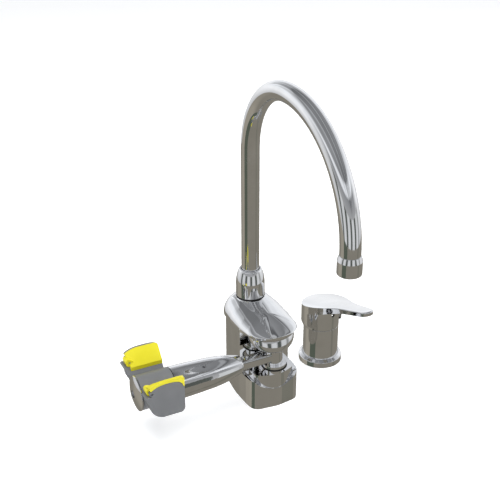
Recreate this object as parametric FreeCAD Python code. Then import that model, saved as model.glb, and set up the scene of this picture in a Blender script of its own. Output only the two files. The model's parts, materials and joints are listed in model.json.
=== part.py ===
import FreeCAD, Part
import math
import os

# Eyewash faucet. Millimetres, +Z up, origin on the riser axis at deck level, sink side is -Y.
os.makedirs("parts", exist_ok=True)
V = FreeCAD.Vector

# Spout
tube_r = 9.525
tube_wall = 1.25
riser_top = 272.2
rise_bend_r = 75.0
fall_bend_r = 111.5
tube_foot_z = 90.0
shell_r = 11.3
shell_bottom_z = 216.3
shell_top_z = 234.5
shell_bevel = 5.0

# Collar and its seat
collar_r = 15.5
collar_bottom_z = 105.5
collar_top_z = 136.8
collar_top_r = 12.3
socket_r = 14.0
socket_neck_r = 12.6
socket_bore_r = 9.95
bushing_bore_r = tube_r + 0.05

# Housing
foot_rear_r = 26.8
foot_half_w = 29.0
foot_front_y = -63.6
foot_side_z = 34.0
scoop_r = 35.5
scoop_axis_z = 58.5
plateau_half_w = 23.0
plateau_front_y = -64.6
plateau_z = 40.2
column_front_y = -33.0
nose_half_w = 25.8
nose_front_y = -68.4
nose_under_z = 83
part_line_rear_z = 80.0
part_line_front_z = 90
cover_lip = 2.2
cover_top_rear_z = 106.0
cover_top_front_z = 98.5
cover_edge_r = 13.0
cover_seat_z = 104.0

# Swing arm
pivot_y = -55.0
arm_z = 59.0
socket_top_z = 45.6
pivot_socket_r = 9.8
pivot_spigot_r = 8.6
stem_r = 9.0
journal_r = 6.5
stem_bore_r = 3.5
washer_r = 12.8
bar_w = 13.0
bar_h = 10.0
bar_end_x = -41.0
tenon_r = 7.0
shell_end_x = -117.5
shell_end_r = 17.4
hub_r = 17.5
hub_end_x = -153.0
cap_r = 18.0
pipe_r = 3.0

# Eyewash head
cup_left_x = -157.5
cup_right_x = -117.5
cup_bottom_z = 49.5
cup_peak_z = 90.0
cup_end_y = -91.0
cover_t = 3.7
slope_y = -89.0
slope_z = 90.5
slope_tan = 15.0 / 13.0
pin_x = -151.0
pin_z = 79.0
pin_r = 1.2
knuckle_r = 4.0

# Eyewash valve under the pivot
valve_bore_r = 7.4
inlet2_r = 4.3
chamber_r = 6.9
chamber_z = 9.0
seat_z = 18.0
seat_t = 4.0
disc_t = 2.5
cam_pin_r = 1.2
cam_track_r = 4.5
valve_lift = 3.0
cam_tip_z = 28.5
spring_wire_r = 0.4
spring_r = 5.2
spring_turns = 4

# Mixer
mixer_x = 89.6
mixer_y = -3.06
lever_turn = -81.0
flange_r = 24.6
flange_h = 9.0
mixer_r = 20.1
mixer_bore_r = 17.0
mixer_top_z = 46.0
skirt_r = 23.0
skirt_bore_r = 21.4
skirt_bottom_z = 46.9
skirt_bevel_z = 50.7
cap_centre_z = 77.0
cap_slope = math.tan(math.radians(14.5))
lever_tip_x = 79.0
lever_tip_half_w = 8.0
tilt_z = 46.0
handle_screw_z = 64.8
handle_screw_r = 2.2


def cyl(x, y, z0, z1, r):
    return Part.makeCylinder(r, z1 - z0, V(x, y, z0))


def cyl_x(x0, x1, y, z, r):
    return Part.makeCylinder(r, x1 - x0, V(x0, y, z), V(1, 0, 0))


def cyl_y(y0, y1, x, z, r):
    return Part.makeCylinder(r, y1 - y0, V(x, y0, z), V(0, 1, 0))


def ring(x, y, z0, z1, r_in, r_out):
    return cyl(x, y, z0, z1, r_out).cut(cyl(x, y, z0 - 1, z1 + 1, r_in))


def ring_x(x0, x1, y, z, r_in, r_out):
    return cyl_x(x0, x1, y, z, r_out).cut(cyl_x(x0 - 1, x1 + 1, y, z, r_in))


def box(x0, x1, y0, y1, z0, z1):
    return Part.makeBox(x1 - x0, y1 - y0, z1 - z0, V(x0, y0, z0))


def rounded_wire(pts, place):
    # Corners are (a, b, radius); place turns (a, b) into a point in space.
    n = len(pts)
    starts, ends, mids = [], [], []
    for i in range(n):
        a, b, r = pts[i]
        p = V(a, b, 0)
        before = (V(*pts[i - 1][:2], 0) - p).normalize()
        after = (V(*pts[(i + 1) % n][:2], 0) - p).normalize()
        if r == 0:
            starts.append(p)
            ends.append(p)
            mids.append(None)
            continue
        half = before.getAngle(after) / 2
        d = r / math.tan(half)
        centre = p + (before + after).normalize() * (r / math.sin(half))
        starts.append(p + before * d)
        ends.append(p + after * d)
        mids.append(centre + (p - centre).normalize() * r)
    edges = []
    for i in range(n):
        if mids[i] is not None:
            edges.append(Part.Arc(place(starts[i]), place(mids[i]), place(ends[i])).toShape())
        nxt = starts[(i + 1) % n]
        if ends[i].distanceToPoint(nxt) > 1e-6:
            edges.append(Part.LineSegment(place(ends[i]), place(nxt)).toShape())
    return Part.Wire(Part.__sortEdges__(edges))


def prism_z(pts, z0, z1):
    face = Part.Face(rounded_wire(pts, lambda p: V(p.x, p.y, z0)))
    return face.extrude(V(0, 0, z1 - z0))


def prism_y(pts, y0, y1):
    face = Part.Face(rounded_wire(pts, lambda p: V(p.x, y0, p.y)))
    return face.extrude(V(0, y1 - y0, 0))


def prism_x(pts, x0, x1):
    face = Part.Face(rounded_wire(pts, lambda p: V(x0, p.x, p.y)))
    return face.extrude(V(x1 - x0, 0, 0))


def turned(pts, x, y):
    # Profile (r, z) turned about the vertical line through x, y.
    face = Part.Face(rounded_wire(pts, lambda p: V(x + p.x, y, p.y)))
    return face.revolve(V(x, y, 0), V(0, 0, 1), 360)


def turned_x(pts, y, z):
    # Profile (x, r) turned about the line along X through y, z.
    face = Part.Face(rounded_wire(pts, lambda p: V(p.x, y, z + p.y)))
    return face.revolve(V(0, y, z), V(1, 0, 0), 360)


def o_ring(x, y, z, mean_r, wire_r):
    return Part.makeTorus(mean_r, wire_r, V(x, y, z))


def edges_near(shape, test):
    picked = []
    for e in shape.Edges:
        if test(e.BoundBox):
            picked.append(e)
    return picked


# Spout tube: straight riser, tight rising bend, wider falling bend
outlet_y = -(rise_bend_r + fall_bend_r)
top_z = riser_top + rise_bend_r
outlet_z = top_z - fall_bend_r
tube_end_z = shell_bottom_z + 10.0
c45 = math.cos(math.radians(45))


def tube_solid(r):
    spine = [
        Part.LineSegment(V(0, 0, tube_foot_z), V(0, 0, riser_top)).toShape(),
        Part.Arc(V(0, 0, riser_top),
                 V(0, -rise_bend_r * (1 - c45), riser_top + rise_bend_r * c45),
                 V(0, -rise_bend_r, top_z)).toShape(),
        Part.Arc(V(0, -rise_bend_r, top_z),
                 V(0, -rise_bend_r - fall_bend_r * c45, outlet_z + fall_bend_r * c45),
                 V(0, outlet_y, outlet_z)).toShape(),
        Part.LineSegment(V(0, outlet_y, outlet_z), V(0, outlet_y, tube_end_z)).toShape(),
    ]
    mouth = Part.Wire([Part.Circle(V(0, 0, tube_foot_z), V(0, 0, 1), r).toShape()])
    return Part.Wire(spine).makePipeShell([mouth], True, True)


tube_bore_r = tube_r - tube_wall
spout_tube = tube_solid(tube_r).cut(tube_solid(tube_bore_r))

shell = turned([(0, shell_bottom_z, 0), (shell_r - 0.9, shell_bottom_z, 0),
                (shell_r, shell_bottom_z + 0.9, 0), (shell_r, shell_top_z - shell_bevel, 1.0),
                (tube_r + 0.4, shell_top_z, 0), (0, shell_top_z, 0)], 0, outlet_y)
shell = shell.cut(cyl(0, outlet_y, shell_bottom_z + 2, shell_top_z + 1, tube_r))
aerator_shell = shell.cut(cyl(0, outlet_y, shell_bottom_z - 1, shell_bottom_z + 3, tube_r - 1.3))
washer_t = 1.5
aerator_washer = ring(0, outlet_y, tube_end_z - washer_t, tube_end_z, tube_r - 3, tube_r - 0.1)
insert_z0 = shell_bottom_z + 2
insert_z1 = tube_end_z - washer_t
aerator_insert = cyl(0, outlet_y, insert_z0, insert_z1, tube_r - 0.1)
for i in range(6):
    a = math.radians(60 * i)
    hole = cyl(5.2 * math.cos(a), outlet_y + 5.2 * math.sin(a), insert_z0 - 1, insert_z1 + 1, 1.3)
    aerator_insert = aerator_insert.cut(hole)
aerator_insert = aerator_insert.cut(cyl(0, outlet_y, insert_z0 - 1, insert_z1 + 1, 2.0))
screen_t = 0.6
screen = cyl(0, outlet_y, insert_z0 - screen_t, insert_z0, tube_r - 1.5)
for i in range(-3, 4):
    for j in range(-3, 4):
        if i * i + j * j < 12:
            screen = screen.cut(box(i * 2 - 0.6, i * 2 + 0.6, outlet_y + j * 2 - 0.6,
                                    outlet_y + j * 2 + 0.6, insert_z0 - 2, insert_z0 + 1))
aerator_screen = screen

# Spout seat in the housing
flange_z = tube_foot_z - 2
fitting_bottom_z = flange_z - 22
fitting = cyl(0, 0, fitting_bottom_z, flange_z, socket_bore_r - 0.05)
fitting = fitting.fuse(cyl(0, 0, flange_z, tube_foot_z, 10.7))
fitting = fitting.fuse(cyl(0, 0, tube_foot_z, tube_foot_z + 14, tube_bore_r))
spout_rings_z = (fitting_bottom_z + 6, fitting_bottom_z + 14)
ring_wire = 0.9
for z in spout_rings_z:
    fitting = fitting.cut(ring(0, 0, z - 0.95, z + 0.95, 8.1, 12))
spout_end_fitting = fitting.cut(cyl(0, 0, fitting_bottom_z - 1, tube_foot_z + 20, 5.5))
ring_mean = socket_bore_r - 0.02 - ring_wire
spout_o_rings = Part.makeCompound([o_ring(0, 0, z, ring_mean, ring_wire) for z in spout_rings_z])

socket_top_neck = 118.0
socket = cyl(0, 0, 0, 95, socket_r).fuse(cyl(0, 0, 95, socket_top_neck, socket_neck_r))
socket = socket.cut(cyl(0, 0, flange_z, socket_top_neck + 1, 11.0))
socket = socket.cut(cyl(0, 0, fitting_bottom_z - 6, flange_z + 1, socket_bore_r))
socket = socket.cut(cyl(0, 0, 14, fitting_bottom_z, 5.0))
inlet_r = 8.0
inlet_len = 15.0
socket = socket.cut(cyl(0, 0, -1, inlet_len, inlet_r))
retainer_z = tube_foot_z + 0.3
spout_socket = socket.cut(ring(0, 0, retainer_z, retainer_z + 1.2, 10, 11.8))
spout_retainer = ring(0, 0, retainer_z, retainer_z + 1.2, tube_r + 0.3, 11.8)
spout_retainer = spout_retainer.cut(box(5, 14, -1.5, 1.5, retainer_z - 1, retainer_z + 3))
spout_bushing = ring(0, 0, 96, 116, bushing_bore_r, 11.0)

collar_mid = (collar_bottom_z + collar_top_z) / 2
collar_edges = [
    Part.LineSegment(V(0, 0, collar_bottom_z), V(collar_r - 0.5, 0, collar_bottom_z)).toShape(),
    Part.LineSegment(V(collar_r - 0.5, 0, collar_bottom_z), V(collar_r, 0, collar_bottom_z + 0.5)).toShape(),
    Part.LineSegment(V(collar_r, 0, collar_bottom_z + 0.5), V(collar_r, 0, collar_mid - 4)).toShape(),
    Part.Arc(V(collar_r, 0, collar_mid - 4), V(collar_r - 0.75, 0, collar_mid + 6),
             V(collar_top_r, 0, collar_top_z - 1)).toShape(),
    Part.LineSegment(V(collar_top_r, 0, collar_top_z - 1), V(collar_top_r - 0.9, 0, collar_top_z)).toShape(),
    Part.LineSegment(V(collar_top_r - 0.9, 0, collar_top_z), V(0, 0, collar_top_z)).toShape(),
    Part.LineSegment(V(0, 0, collar_top_z), V(0, 0, collar_bottom_z)).toShape(),
]
collar = Part.Face(Part.Wire(collar_edges)).revolve(V(0, 0, 0), V(0, 0, 1), 360)
collar = collar.cut(cyl(0, 0, collar_bottom_z - 1, socket_top_neck, socket_neck_r))
spout_collar = collar.cut(cyl(0, 0, socket_top_neck - 1, collar_top_z + 1, tube_r + 0.6))
collar_ring_r = (collar_bottom_z - cover_seat_z) / 2
collar_o_ring = o_ring(0, 0, cover_seat_z + collar_ring_r, collar_r - 0.9, collar_ring_r)

# Housing: foot, column and nose round an open recess


def with_rear(half, rear_r, grow):
    # Right half of a plan, front to back, mirrored and closed by a round rear.
    half = [(x + grow if x else 0, y - grow if y < -50 else y, r) for x, y, r in half]
    rear = rear_r + grow
    side_x, side_y = half[-1][:2]
    rear_x = rear - (side_x - rear) / -side_y * rear
    bend = rear - 1.0
    left = [(-x, y, r) for x, y, r in reversed(half) if x]
    return half + [(rear_x, rear, bend), (-rear_x, rear, bend)] + left


side_x = foot_half_w + 0.5
foot_half = [(0, foot_front_y - 1.4, 40), (foot_half_w - 2.0, foot_front_y + 2.0, 11), (foot_half_w, -46, 8), (side_x, -22, 150)]
foot_plan = with_rear(foot_half, foot_rear_r, 0)
foot = prism_z(foot_plan, 0, foot_side_z)
plateau_plan = [(-plateau_half_w, 5, 0), (-plateau_half_w, plateau_front_y + 7, 9), (0, plateau_front_y - 2.3, 33),
                (plateau_half_w, plateau_front_y + 7, 9), (plateau_half_w, 5, 0)]
plateau = prism_z(plateau_plan, 0, plateau_z)
scoop = cyl_y(foot_front_y - 20, column_front_y - 3, 0, scoop_axis_z, scoop_r)
foot = foot.cut(scoop).fuse(plateau)

column_plan = with_rear([(side_x - 0.2, column_front_y, 0), (side_x, -22, 150)], foot_rear_r, 0)
column = prism_z(column_plan, foot_side_z, 90)
nose_half = [(0, nose_front_y - 1.5, 36), (nose_half_w, nose_front_y + 4, 15), (side_x, -30, 150)]
nose = prism_z(with_rear(nose_half, foot_rear_r, cover_lip - 0.3), nose_under_z, 95)
nose = nose.common(box(-60, 60, -100, column_front_y, 0, 120))
nose_boss_z = 67.2
boss_r = 10.4


def oval(y, z, half_x, half_y):
    return Part.Wire([Part.Ellipse(V(half_x, y, z), V(0, y + half_y, z), V(0, y, z)).toShape()])


bowl_mid_y = (pivot_y + nose_front_y + 23) / 2
bowl = Part.makeLoft([oval(pivot_y, nose_boss_z, boss_r + 0.01, boss_r),
                      oval(bowl_mid_y, nose_boss_z + 8.4, 23.6, 19.0),
                      oval(nose_front_y + 23, nose_under_z + 0.5, nose_half_w - 0.8, 21.6)], True, False)
part_line = [(40, part_line_rear_z), (-90, part_line_front_z + 1), (-90, 130), (40, 130)]
above = prism_x([(y, z, 0) for y, z in part_line], -60, 60)
pivot_socket_z = seat_z + seat_t + 2
stud_r = 4.0
stud_len = 14.0
stud_y = -30.0
housing_cuts = [above, cyl(0, 0, -1, 96, socket_r),
                cyl(0, pivot_y, -1, chamber_z + 1, inlet2_r),
                cyl(0, pivot_y, chamber_z, seat_z + 1, chamber_r),
                cyl(0, pivot_y, seat_z, pivot_socket_z + 1, valve_bore_r),
                cyl(0, pivot_y, pivot_socket_z, plateau_z + 2, pivot_spigot_r),
                cyl(0, pivot_y, nose_boss_z - 1, 95, 8.5),
                cyl(0, stud_y, -1, stud_len, stud_r)]


def hollowed(shape):
    for tool in housing_cuts:
        shape = shape.cut(tool)
    return shape.removeSplitter()


gasket_t = 1.5
gasket_in = 1.0


gasket = prism_z(with_rear(foot_half, foot_rear_r, -gasket_in), 0, gasket_t)
for hole_y, hole_r in ((0, socket_r), (stud_y, stud_r), (pivot_y, inlet2_r)):
    gasket = gasket.cut(cyl(0, hole_y, -1, gasket_t + 1, hole_r))
base_gasket = gasket
body_foot = hollowed(foot.cut(base_gasket))
body_column = hollowed(column.cut(foot))
body_nose = hollowed(nose.fuse(bowl).cut(column))

# Top cover: loaf shape from the column to the nose
cover = prism_z(with_rear(nose_half, foot_rear_r, cover_lip), 70, 120)
roof_drop = (cover_top_rear_z - cover_top_front_z) / -nose_front_y
roof = [(40, cover_top_rear_z + 40 * roof_drop), (-90, cover_top_rear_z - 90 * roof_drop), (-90, 130), (40, 130)]
cover = cover.cut(prism_x([(y, z, 0) for y, z in roof], -60, 60))
cover = cover.cut(prism_x([(40, part_line_rear_z, 0), (-90, part_line_front_z + 1, 0), (-90, 60, 0), (40, 60, 0)],
                          -60, 60)).removeSplitter()
rim_edges = edges_near(cover, lambda b: b.ZMin > 93)
cover = cover.makeFillet(cover_edge_r, rim_edges)
cover = cover.cut(ring(0, 0, cover_seat_z, 120, 0.5, 40).common(cyl(0, 0, 90, 120, collar_r + 0.8)))
cover = cover.fuse(cyl(0, 0, 95, cover_seat_z, collar_r + 0.3))
cover = cover.cut(cyl(0, 0, 70, 120, socket_r))
cover = cover.cut(box(-13, 13, -64, -20, 70, 91))
top_cover = cover.removeSplitter()

# Swing stem on its two bushings
cam_disc_z = cam_tip_z + 4.5
journal_z = cam_disc_z + 2.5
stem = cyl(0, pivot_y, journal_z, nose_boss_z + 13, journal_r)
stem = stem.fuse(cyl(0, pivot_y, socket_top_z + 2.5, nose_boss_z - 0.4, stem_r))
clip_z = nose_boss_z + 10.3
stem = stem.cut(ring(0, pivot_y, clip_z, clip_z + 1, journal_r - 0.6, 12))
stem = stem.cut(cyl(0, pivot_y, journal_z - 1, arm_z + 3.5, stem_bore_r))
spigot_r = 4.8
swing_stem = stem.cut(cyl_x(-12, 0, pivot_y, arm_z, spigot_r))
stem_clip = ring(0, pivot_y, clip_z, clip_z + 1, journal_r - 0.6, 8.1)
stem_clip = stem_clip.cut(box(4, 12, pivot_y - 1.5, pivot_y + 1.5, clip_z - 1, clip_z + 2))
upper_bushing = ring(0, pivot_y, nose_boss_z, nose_boss_z + 10, journal_r + 0.05, 8.5)
lower_bushing = ring(0, pivot_y, journal_z + 0.5, socket_top_z, journal_r + 0.05, 8.0)
pocket_r = 7.2
pivot = ring(0, pivot_y, pivot_socket_z, plateau_z + 1, pocket_r, pivot_spigot_r)
pivot = pivot.fuse(ring(0, pivot_y, plateau_z, socket_top_z, pocket_r, pivot_socket_r))
pivot = pivot.cut(cyl(0, pivot_y, journal_z + 0.5, socket_top_z + 1, 8.0))
key_w = 1.5
pivot_socket = pivot.cut(box(-8.1, -6, pivot_y - key_w / 2 - 0.1, pivot_y + key_w / 2 + 0.1,
                             pivot_socket_z - 1, cam_disc_z))
pivot_ring_r = 0.8
washer_z = socket_top_z + 0.3
washer_step = 2 * pivot_ring_r
washer_groove_r = washer_r - 0.6
pivot_o_ring = o_ring(0, pivot_y, washer_z + pivot_ring_r, washer_groove_r + pivot_ring_r, pivot_ring_r)
pivot_washer = ring(0, pivot_y, washer_z, socket_top_z + 5.0, stem_r, washer_r)
pivot_washer = pivot_washer.fuse(ring(0, pivot_y, washer_z, socket_top_z + 2.5, journal_r, washer_r))
pivot_washer = pivot_washer.cut(ring(0, pivot_y, 0, washer_z + washer_step, washer_groove_r, 30))
pivot_washer = pivot_washer.removeSplitter()

# Eyewash valve: cam pin on a slanted plunger face, disc under a seat, spring on the chamber floor
cam = cyl(0, pivot_y, cam_disc_z, journal_z, 6.2).fuse(cyl(0, pivot_y, journal_z, journal_z + 3, stem_bore_r))
cam_turn = math.radians(45)
cam_x = cam_track_r * math.cos(cam_turn)
cam_y = pivot_y - cam_track_r * math.sin(cam_turn)
cam = cam.fuse(cyl(cam_x, cam_y, cam_tip_z + cam_pin_r, cam_disc_z + 1, cam_pin_r))
cam = cam.fuse(Part.makeSphere(cam_pin_r, V(cam_x, cam_y, cam_tip_z + cam_pin_r)))
valve_cam = cam.cut(cyl(0, pivot_y, cam_disc_z - 1, journal_z + 5, 2.4))

face_rise = valve_lift / (2 * math.sin(cam_turn))
face_tan = face_rise / cam_track_r
face_z0 = cam_tip_z - 0.35 + valve_lift / 2
head_z = seat_z + seat_t + valve_lift + 0.5
plunger_r = pocket_r - 0.3
plunger = cyl(0, pivot_y, head_z, cam_disc_z - 0.6, plunger_r)
key_z = pivot_socket_z + valve_lift + 0.3
plunger = plunger.fuse(box(-7.9, -5, pivot_y - key_w / 2, pivot_y + key_w / 2, key_z, cam_disc_z - 0.6))
y_lo = pivot_y - 10
y_hi = pivot_y + 10
slant = prism_x([(y_lo, face_z0 - 10 * face_tan, 0), (y_hi, face_z0 + 10 * face_tan, 0),
                 (y_hi, 60, 0), (y_lo, 60, 0)], -12, 12)
plunger = plunger.cut(slant)
plunger = plunger.fuse(cyl(0, pivot_y, seat_z, head_z + 0.1, 1.6))
plunger = plunger.fuse(cyl(0, pivot_y, seat_z - disc_t - 1.2, seat_z, 1.2))
for a in (150, 180, 210):
    hx = 3.9 * math.cos(math.radians(a))
    hy = pivot_y + 3.9 * math.sin(math.radians(a))
    plunger = plunger.cut(cyl(hx, hy, head_z - 1, 40, 0.9))
valve_plunger = plunger.removeSplitter()
disc_top = seat_z - 0.05
disc_bottom = disc_top - disc_t
valve_disc = ring(0, pivot_y, disc_bottom, disc_top, 1.2, 5.9)
valve_seat = ring(0, pivot_y, seat_z, seat_z + seat_t, 3.6, valve_bore_r)
coil_h = disc_bottom - chamber_z - 2 * spring_wire_r - 0.1
pitch = coil_h / spring_turns
coil_z0 = chamber_z + spring_wire_r + 0.05


def coil_point(turn):
    a = 2 * math.pi * turn
    return V(spring_r * math.cos(a), pivot_y + spring_r * math.sin(a), coil_z0 + pitch * turn)


def coil_tangent(turn):
    a = 2 * math.pi * turn
    return V(-spring_r * math.sin(a), spring_r * math.cos(a), pitch / (2 * math.pi)).normalize()


def bend(a, corner, b):
    # The arc that starts along a-corner and ends along corner-b, both of equal length.
    w = math.cos((corner - a).getAngle(b - a))
    middle = ((a + b) * 0.5 + corner * w) * (1 / (1 + w))
    return Part.Arc(a, middle, b).toShape()


coil_edges = []
quarters = 4 * spring_turns
for i in range(quarters):
    p0, p1 = coil_point(i / 4), coil_point((i + 1) / 4)
    t0, t1 = coil_tangent(i / 4), coil_tangent((i + 1) / 4)
    span = p1 - p0
    turning = 2 * (1 - t0.dot(t1))
    along = span.dot(t0 + t1)
    reach = (math.sqrt(along * along + turning * span.dot(span)) - along) / turning
    q0, q1 = p0 + t0 * reach, p1 - t1 * reach
    joint = (q0 + q1) * 0.5
    coil_edges += [bend(p0, q0, joint), bend(joint, q1, p1)]
wire_start = coil_point(0)
wire_dir = coil_tangent(0)
wire_end = Part.Wire([Part.Circle(wire_start, wire_dir, spring_wire_r).toShape()])
valve_spring = Part.Wire(coil_edges).makePipeShell([wire_end], True)

# Arm
bar = prism_x([(pivot_y - bar_w / 2, arm_z - bar_h / 2, 2), (pivot_y + bar_w / 2, arm_z - bar_h / 2, 2),
               (pivot_y + bar_w / 2, arm_z + bar_h / 2, 2), (pivot_y - bar_w / 2, arm_z + bar_h / 2, 2)],
              bar_end_x, -5)
bar = bar.cut(cyl(0, pivot_y, 40, 80, stem_r))
bar = bar.fuse(cyl_x(-10, -4, pivot_y, arm_z, spigot_r))
tenon_end_x = bar_end_x - 51
bar = bar.fuse(cyl_x(tenon_end_x, bar_end_x, pivot_y, arm_z, tenon_r - 0.01))
bar = bar.cut(box(-30.5, -26.5, pivot_y - 0.6, pivot_y + 0.6, arm_z + bar_h / 2 - 0.8, arm_z + bar_h))
arm_bar = bar.cut(cyl_x(tenon_end_x - 1, 5, pivot_y, arm_z, pipe_r)).removeSplitter()
shell_pts = [V(bar_end_x, pivot_y, arm_z + 9.7), V(bar_end_x - 16, pivot_y, arm_z + 13.6),
             V(bar_end_x - 28, pivot_y, arm_z + 15.4), V(bar_end_x - 45, pivot_y, arm_z + 16.6),
             V(bar_end_x - 66, pivot_y, arm_z + shell_end_r - 0.05), V(shell_end_x, pivot_y, arm_z + shell_end_r)]
curve = Part.BSplineCurve()
curve.interpolate(shell_pts)
shell_wire = Part.Wire([
    curve.toShape(),
    Part.LineSegment(shell_pts[-1], V(shell_end_x, pivot_y, arm_z)).toShape(),
    Part.LineSegment(V(shell_end_x, pivot_y, arm_z), V(bar_end_x + 1.5, pivot_y, arm_z)).toShape(),
    Part.LineSegment(V(bar_end_x + 1.5, pivot_y, arm_z), V(bar_end_x + 1.5, pivot_y, arm_z + 8)).toShape(),
    Part.LineSegment(V(bar_end_x + 1.5, pivot_y, arm_z + 8), shell_pts[0]).toShape(),
])
arm = Part.Face(shell_wire).revolve(V(0, pivot_y, arm_z), V(1, 0, 0), 360)
spigot_len = 18.0
arm = arm.cut(cyl_x(tenon_end_x - 4, bar_end_x + 0.01, pivot_y, arm_z, tenon_r))
arm = arm.cut(cyl_x(shell_end_x - 1, shell_end_x + spigot_len, pivot_y, arm_z, 11.0))
mouth = prism_x([(pivot_y - bar_w / 2, arm_z - bar_h / 2, 2), (pivot_y + bar_w / 2, arm_z - bar_h / 2, 2),
                 (pivot_y + bar_w / 2, arm_z + bar_h / 2, 2), (pivot_y - bar_w / 2, arm_z + bar_h / 2, 2)],
                bar_end_x, 0)
screw_x = -84.0
screw_tilt = 25.0
screw_r = 2.5


def tilted(shape):
    turned_shape = shape.copy()
    turned_shape.rotate(V(screw_x, pivot_y, arm_z), V(1, 0, 0), screw_tilt)
    return turned_shape


arm = arm.cut(mouth).cut(tilted(cyl(screw_x, pivot_y, arm_z + tenon_r - 2, 90, screw_r)))
arm = arm.cut(cyl_x(shell_end_x - 5, bar_end_x, pivot_y, arm_z, pipe_r))
arm_shell = arm.removeSplitter()
screw_top = arm_z + tenon_r + 7
screw_seat = arm_z + tenon_r - 1.2
arm_bar = arm_bar.cut(tilted(cyl(screw_x, pivot_y, screw_seat, 90, screw_r)))
set_screw = cyl(screw_x, pivot_y, screw_seat, screw_top, screw_r)
arm_set_screw = tilted(set_screw.cut(cyl(screw_x, pivot_y, screw_top - 2.5, 90, 1.3)))
chamber_x = -126.0
arm_water_tube = ring_x(chamber_x, -4, pivot_y, arm_z, pipe_r - 0.8, pipe_r)
joint_t = 0.8
arm_o_ring = ring_x(shell_end_x - joint_t, shell_end_x, pivot_y, arm_z, 11.0, shell_end_r - 0.1)

# Eyewash head
hub_start_x = shell_end_x - joint_t
arch_x = (cup_left_x + cup_right_x) / 2 - 1.5


def cup_outline(grow):
    # Outline across the head: round bottom, arched top lowered by the cover thickness.
    top = cup_peak_z - cover_t + grow
    left = V(cup_left_x, 0, top - 12)
    right = V(cup_right_x, 0, top - 8.5)
    low = [V(cup_right_x, 0, 56), V(-121, 0, cup_bottom_z), V(-140, 0, cup_bottom_z), V(cup_left_x + 4, 0, 66)]
    edges = [Part.Arc(left, V(arch_x, 0, top), right).toShape(),
             Part.LineSegment(right, low[0]).toShape(),
             Part.Arc(low[0], V(-118.8, 0, 51.2), low[1]).toShape(),
             Part.LineSegment(low[1], low[2]).toShape(),
             Part.Arc(low[2], V(-148.0, 0, 53.4), low[3]).toShape(),
             Part.LineSegment(low[3], left).toShape()]
    return Part.Face(Part.Wire(edges))


def slope_top(y, drop):
    return slope_z - drop - slope_tan * (y - slope_y)


def under_slope(drop):
    lo = cup_end_y - 5
    hi = pivot_y
    pts = [(lo, 30, 0), (lo, slope_top(lo, drop), 0), (hi, slope_top(hi, drop), 0), (hi, 30, 0)]
    return prism_x(pts, cup_left_x - 10, cup_right_x + 10)


def cup_solid(grow, drop, y0, y1):
    outline = cup_outline(grow)
    outline.translate(V(0, y0, 0))
    return outline.extrude(V(0, y1 - y0, 0)).common(under_slope(drop))


drop_in = cover_t * math.hypot(1, slope_tan) * 0.8
cup = cup_solid(0, drop_in, cup_end_y, pivot_y - 5)
cup = cup.cut(box(cup_left_x - 10, pin_x, cup_end_y - 9, pivot_y + 15, pin_z - 3, cup_peak_z + 10))
cup = cup.cut(box(cup_left_x - 10, hub_end_x, pivot_y - cap_r - 0.5, pivot_y, 0, cup_peak_z + 10))
wall_t = 3.0
wall_in = cup_end_y + wall_t
knuckle_len = 8.6
knuckle_end_y = wall_in + knuckle_len + 0.6
cup = cup.cut(cyl_y(wall_in, knuckle_end_y, pin_x, pin_z, knuckle_r + 0.4))
cup = cup.fuse(cyl_y(cup_end_y, wall_in, pin_x, pin_z, 2.5))
cup = cup.cut(cyl_y(cup_end_y - 1, wall_in + 1, pin_x, pin_z, pin_r))
pocket = box(-147, -122, -87, -77, 60, 100)
cup = cup.cut(pocket)
mid = V(0, pivot_y, 0)
flip = V(0, 1, 0)
head = cyl_x(hub_end_x, hub_start_x, pivot_y, arm_z, hub_r)
head = head.fuse(cyl_x(hub_start_x - 1, shell_end_x + spigot_len - 1, pivot_y, arm_z, 11.0))
head = head.fuse(cup).fuse(cup.mirror(mid, flip))
bore_r = 9.0
head = head.cut(cyl_x(hub_end_x - 10, chamber_x, pivot_y, arm_z, bore_r))
head = head.cut(cyl_x(chamber_x - 5, -80, pivot_y, arm_z, pipe_r))
channel_y = 2 * pivot_y + 80
head_body = head.cut(cyl_y(-80, 2 * pivot_y + 80, -138, 63.5, 3.4)).cut(arm_o_ring).removeSplitter()
head_strainer = cyl_x(chamber_x - 1, chamber_x, pivot_y, arm_z, bore_r)
for i in range(-2, 3):
    for j in range(-2, 3):
        head_strainer = head_strainer.cut(cyl_x(chamber_x - 2, chamber_x + 1, pivot_y + i * 2.6, arm_z + j * 2.6, 0.8))

nozzle = cup_solid(-1.2, drop_in + 1.2, -87, -77).common(box(-147, -122, -87, -77, 67, 100))
for i in range(5):
    for j in range(2):
        nozzle = nozzle.cut(cyl(-144.5 + i * 5, -84.5 + j * 5, 60, 100, 0.9))
nozzle_insert_right = nozzle
nozzle_insert_left = nozzle.mirror(mid, flip)

cover_y1 = -76.0
flap = cup_solid(cover_t, 0, cup_end_y, cover_y1)
flap = flap.cut(cup_solid(0.3, drop_in - 0.4, cup_end_y - 1, pivot_y - 5))
flap = flap.common(box(pin_x, -100, -100, -40, 60, 120))
knuckle_y0 = wall_in + 0.3
knuckle_y1 = knuckle_y0 + knuckle_len
knuckle = cyl_y(knuckle_y0, knuckle_y1, pin_x, pin_z, knuckle_r)
flap = flap.fuse(knuckle)
flap = flap.cut(cyl_y(-100, -70, pin_x, pin_z, pin_r + 0.05))
dust_cover_right = flap.removeSplitter()
dust_cover_left = dust_cover_right.mirror(mid, flip)
pin = cyl_y(cup_end_y + 1, knuckle_y1 - 0.3, pin_x, pin_z, pin_r)
hinge_pins = Part.makeCompound([pin, pin.mirror(mid, flip)])

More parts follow.
